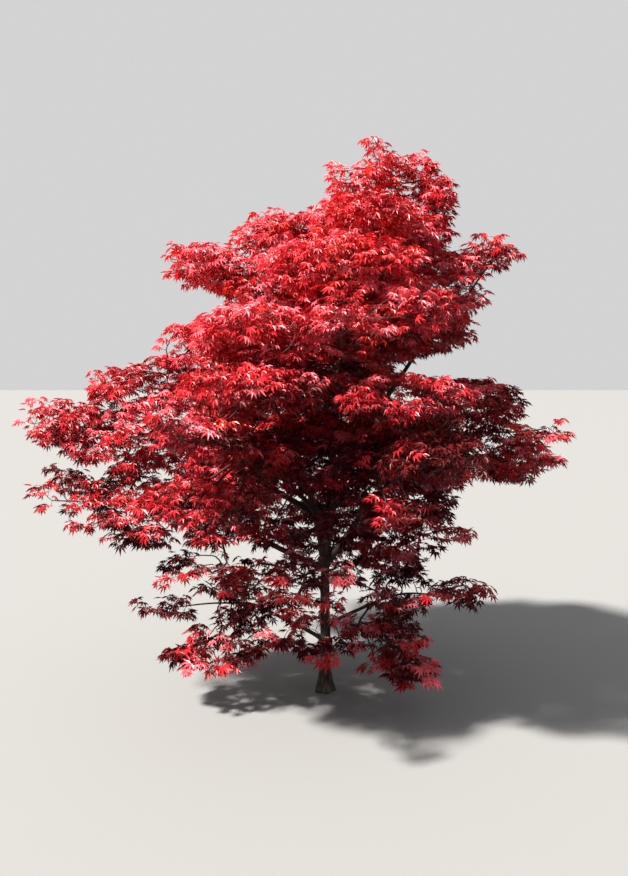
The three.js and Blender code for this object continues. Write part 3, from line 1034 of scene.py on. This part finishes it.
def euler_of(across, ahead, above):
    """Euler angles of frames given by their three axes."""
    x = np.arctan2(ahead[:, 2], above[:, 2])
    y = -np.arcsin(np.clip(across[:, 2], -1, 1))
    z = np.arctan2(across[:, 1], across[:, 0])
    return np.stack([x, y, z], axis=1)


def leaf_points(place, way, parent, steps, first, random):
    """Where each leaf sits, how it is turned, its size and the twig point that it grows on."""
    spots, aheads, aboves, sizes, owners = [], [], [], [], []
    depth = np.zeros(len(place), int)
    for i in range(first, len(place)):
        depth[i] = depth[parent[i]] + 1 if parent[i] >= first else 0
        if steps[i] > LEAFY_STEPS:
            continue
        level = np.array([way[i][0], way[i][1], 0.0])
        if np.linalg.norm(level) < STEEP_TWIG:
            level = np.array([place[i][0] - CROWN_MIDDLE, place[i][1], 0.0])
        level = unit(level)
        side = np.cross(level, UP)
        if steps[i] == 0:
            leaves = END_LEAVES
        else:
            leaves = WIDE_PAIR if depth[i] % 2 else NARROW_PAIR
        for degrees, size in leaves:
            angle = math.radians(degrees + random.normal() * TURN_JITTER)
            ahead = level * math.cos(angle) + side * math.sin(angle)
            tilt = LEAF_TILT + TILT_JITTER * random.normal()
            spots.append(place[i])
            aheads.append(unit(ahead + UP * tilt))
            aboves.append(UP + ROLL_JITTER * random.normal(size=3))
            sizes.append(size)
            owners.append(i)
    across = unit(np.cross(aheads, aboves))
    turns = euler_of(across, np.array(aheads), np.cross(across, aheads))
    return np.array(spots), turns, np.array(sizes), np.array(owners)


def sprays_of(owners, parent, steps, first):
    """For each leaf, the foot of the spray that it belongs to."""
    feet = []
    for owner in owners:
        while steps[owner] < SPRAY_STEPS and parent[owner] >= first:
            owner = parent[owner]
        feet.append(owner)
    return np.array(feet)


def tint_shares(feet):
    """How likely each tint is for sprays that start at the given places, a row for each tint, with sunlight
    and shade painted in by height and by the crown's shade.
    """
    shaded = np.clip((feet[:, 0] - SHADE_LEFT) / SHADE_WIDTH, 0, 1)
    shaded = shaded * np.clip((SHADE_TOP - feet[:, 2]) / SHADE_FADE, 0, 1)
    height = feet[:, 2] - shaded * np.interp(feet[:, 1], SHADE_DEPTHS, SHADE_DROPS)
    return np.stack([np.interp(height, TINT_HEIGHTS, shares) for shares in TINT_SHARES.T])


def new_material(name):
    """A new material and its shader."""
    material = bpy.data.materials.new(name)
    material.use_nodes = True
    return material, material.node_tree.nodes["Principled BSDF"]


def leaf_material(name, colour):
    """A leaf's plain tint with a soft gloss."""
    material, surface = new_material("leaf_" + name)
    surface.inputs["Base Color"].default_value = (*colour, 1)
    surface.inputs["Roughness"].default_value = LEAF_ROUGHNESS
    surface.inputs["Specular IOR Level"].default_value = LEAF_GLOSS.get(name, FULL_GLOSS)
    return material


def bark_material(name, vector_name, dark, pale, fineness, depth):
    """Bark with a grain, paler patches and a fine relief. The grain follows the named attribute, if any."""
    material, surface = new_material(name)
    tree = material.node_tree
    place = add_node(tree, "ShaderNodeTexCoord", output="Object")
    source = place
    if vector_name:
        source = add_node(tree, "ShaderNodeAttribute", output="Vector", attribute_name=vector_name)
    grain = add_node(
        tree,
        "ShaderNodeTexNoise",
        {"Vector": source, "Scale": fineness, "Detail": BARK_DETAIL, "Roughness": BARK_BREAKUP},
    )
    patch_inputs = {"Vector": place, "Scale": PATCH_SCALE, "Detail": PATCH_DETAIL}
    patch = add_node(tree, "ShaderNodeTexNoise", patch_inputs)
    blend = add_node(tree, "ShaderNodeMath", {0: grain, 1: patch, 2: PALEST}, operation="MULTIPLY_ADD")
    ramp = add_node(tree, "ShaderNodeValToRGB", {"Fac": blend})
    for stop, at, colour in zip(ramp.node.color_ramp.elements, (DARK_AT, PALE_AT), (dark, pale)):
        stop.position = at
        stop.color = (*colour, 1)
    rough = add_node(tree, "ShaderNodeMapRange", {"Value": grain, "To Min": SMOOTHEST, "To Max": ROUGHEST})
    bump = add_node(tree, "ShaderNodeBump", {"Height": grain, "Strength": BARK_STRENGTH, "Distance": depth})
    for socket, source in (("Base Color", ramp), ("Roughness", rough), ("Normal", bump)):
        tree.links.new(source, surface.inputs[socket])
    return material


def lay_floor():
    """The pale floor, which throws no light back up into the foliage."""
    corners = [(x * FLOOR_REACH, y * FLOOR_REACH, 0) for x, y in ((-1, -1), (1, -1), (1, 1), (-1, 1))]
    floor = mesh_object("floor", corners, [(0, 1, 2, 3)])
    paint, surface = new_material("floor_paint")
    surface.inputs["Base Color"].default_value = FLOOR_COLOUR
    surface.inputs["Roughness"].default_value = FLOOR_ROUGHNESS
    floor.data.materials.append(paint)
    floor.visible_diffuse = False


def set_light():
    """Soft light from above, a plain pale backdrop and one strong lamp."""
    world = bpy.data.worlds.new("studio")
    world.use_nodes = True
    tree = world.node_tree
    fill = tree.nodes["Background"]
    fill.inputs["Color"].default_value = FILL_COLOUR
    wall = add_node(tree, "ShaderNodeBackground", {"Color": WALL_COLOUR, "Strength": WALL_LIGHT})
    direction = add_node(tree, "ShaderNodeTexCoord", output="Generated")
    height = add_node(tree, "ShaderNodeSeparateXYZ", {0: direction}, "Z")
    strength = add_node(
        tree,
        "ShaderNodeMapRange",
        {"Value": height, "From Max": FILL_TOP, "To Min": LOW_FILL, "To Max": FILL_LIGHT},
    )
    tree.links.new(strength, fill.inputs["Strength"])
    seen = add_node(tree, "ShaderNodeLightPath", output="Is Camera Ray")
    both = add_node(tree, "ShaderNodeMixShader", {0: seen, 1: fill.outputs[0], 2: wall})
    tree.links.new(both, tree.nodes["World Output"].inputs[0])
    bpy.context.scene.world = world
    bpy.context.scene.view_settings.view_transform = "Standard"

    key = bpy.data.lights.new("key", "SUN")
    key.energy = KEY_LIGHT
    key.angle = math.radians(KEY_SPREAD)
    key.color = KEY_COLOUR
    placed("key", key).rotation_euler = Vector(KEY_FROM).to_track_quat("Z", "Y").to_euler()


def set_camera():
    """The camera, in front of the tree, a little over half as high and tipped down slightly."""
    camera = bpy.data.cameras.new("camera")
    camera.sensor_width = SENSOR
    camera.lens = SENSOR * FOCAL_PIXELS / PICTURE_PIXELS
    view = placed("camera", camera)
    view.location = CAMERA_PLACE
    view.rotation_euler = (math.radians(90 - CAMERA_DIP), 0, 0)
    bpy.context.scene.camera = view


random = np.random.default_rng(SEED)
paths = wood_paths()
TRUNK_LENGTH = lengths_along(paths["trunk"])[-1]

bark = bark_material("maple_bark", "grain", *BARK)
twig_bark = bark_material("twig_bark", "", *TWIG_BARK)
leaf_paints = [leaf_material(name, colour) for name, colour in TINTS.items()]

trunk = trunk_piece(paths)
boughs = bough_piece(paths)
for piece in (trunk, boughs):
    piece.data.materials.append(bark)
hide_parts("trunk")
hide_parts(*BOUGHS)

buds, bud_group = crown_buds(paths, random)
starts, ways, wood_radii = wood_starts(paths)
starts, ways, buds = (np.round(values, PLACE_DIGITS) for values in (starts, ways, buds))
first = len(starts)
place, way, parent = grown(starts, ways, buds, random)
radius, steps, leader = twig_sizes(parent, first, wood_radii)
chains = twig_chains(parent, leader, first)
thick_chains = [chain for chain in chains if radius[chain[1]] >= BRANCH_RADIUS]
thin_chains = [chain for chain in chains if radius[chain[1]] < BRANCH_RADIUS]
skin = twig_tree(twig_bark)
branches = applied(run_object("branches_points", thick_chains, place, radius), skin, Sides=BRANCH_SIDES)
twigs = applied(run_object("twigs_points", thin_chains, place, radius), skin, Sides=TWIG_SIDES)

spots, turns, sizes, owners = leaf_points(place, way, parent, steps, first, random)
leaf_group = bud_group[nearest_of(spots, buds)[0]]
spray = sprays_of(owners, parent, steps, first)
luck = random.random(len(place))[spray]
tints = (luck > np.cumsum(tint_shares(place[spray]), axis=0)[:-1]).sum(0)
kinds = random.integers(0, len(LEAF_KINDS), len(spots))
sizes = sizes * (1 + LOW_LEAF_GAIN * np.clip((LOW_LEAF_TOP - spots[:, 2]) / LOW_LEAF_TOP, 0, 1))
leaf_kinds = leaf_collection(leaf_paints[0])
spread = leaf_tree(leaf_kinds, leaf_paints)
carried = {"turn": turns, "size": sizes, "kind": kinds, "tint": tints}
leaf_pieces = []
for group in GROUPS:
    own = leaf_group == group
    own_carried = {label: values[own] for label, values in carried.items()}
    piece = applied(mesh_object(f"leaves_{group}_points", spots[own], **own_carried), spread)
    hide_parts(*[name for name in mass_nodes() if group_of(name) == group])
    leaf_pieces.append(piece)

for leaf in list(leaf_kinds.objects):
    bpy.data.objects.remove(leaf)
bpy.data.collections.remove(leaf_kinds)

wood_pieces = [trunk, boughs, branches, twigs]
for piece in wood_pieces + leaf_pieces:
    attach(piece, "root")

lay_floor()
set_light()
set_camera()
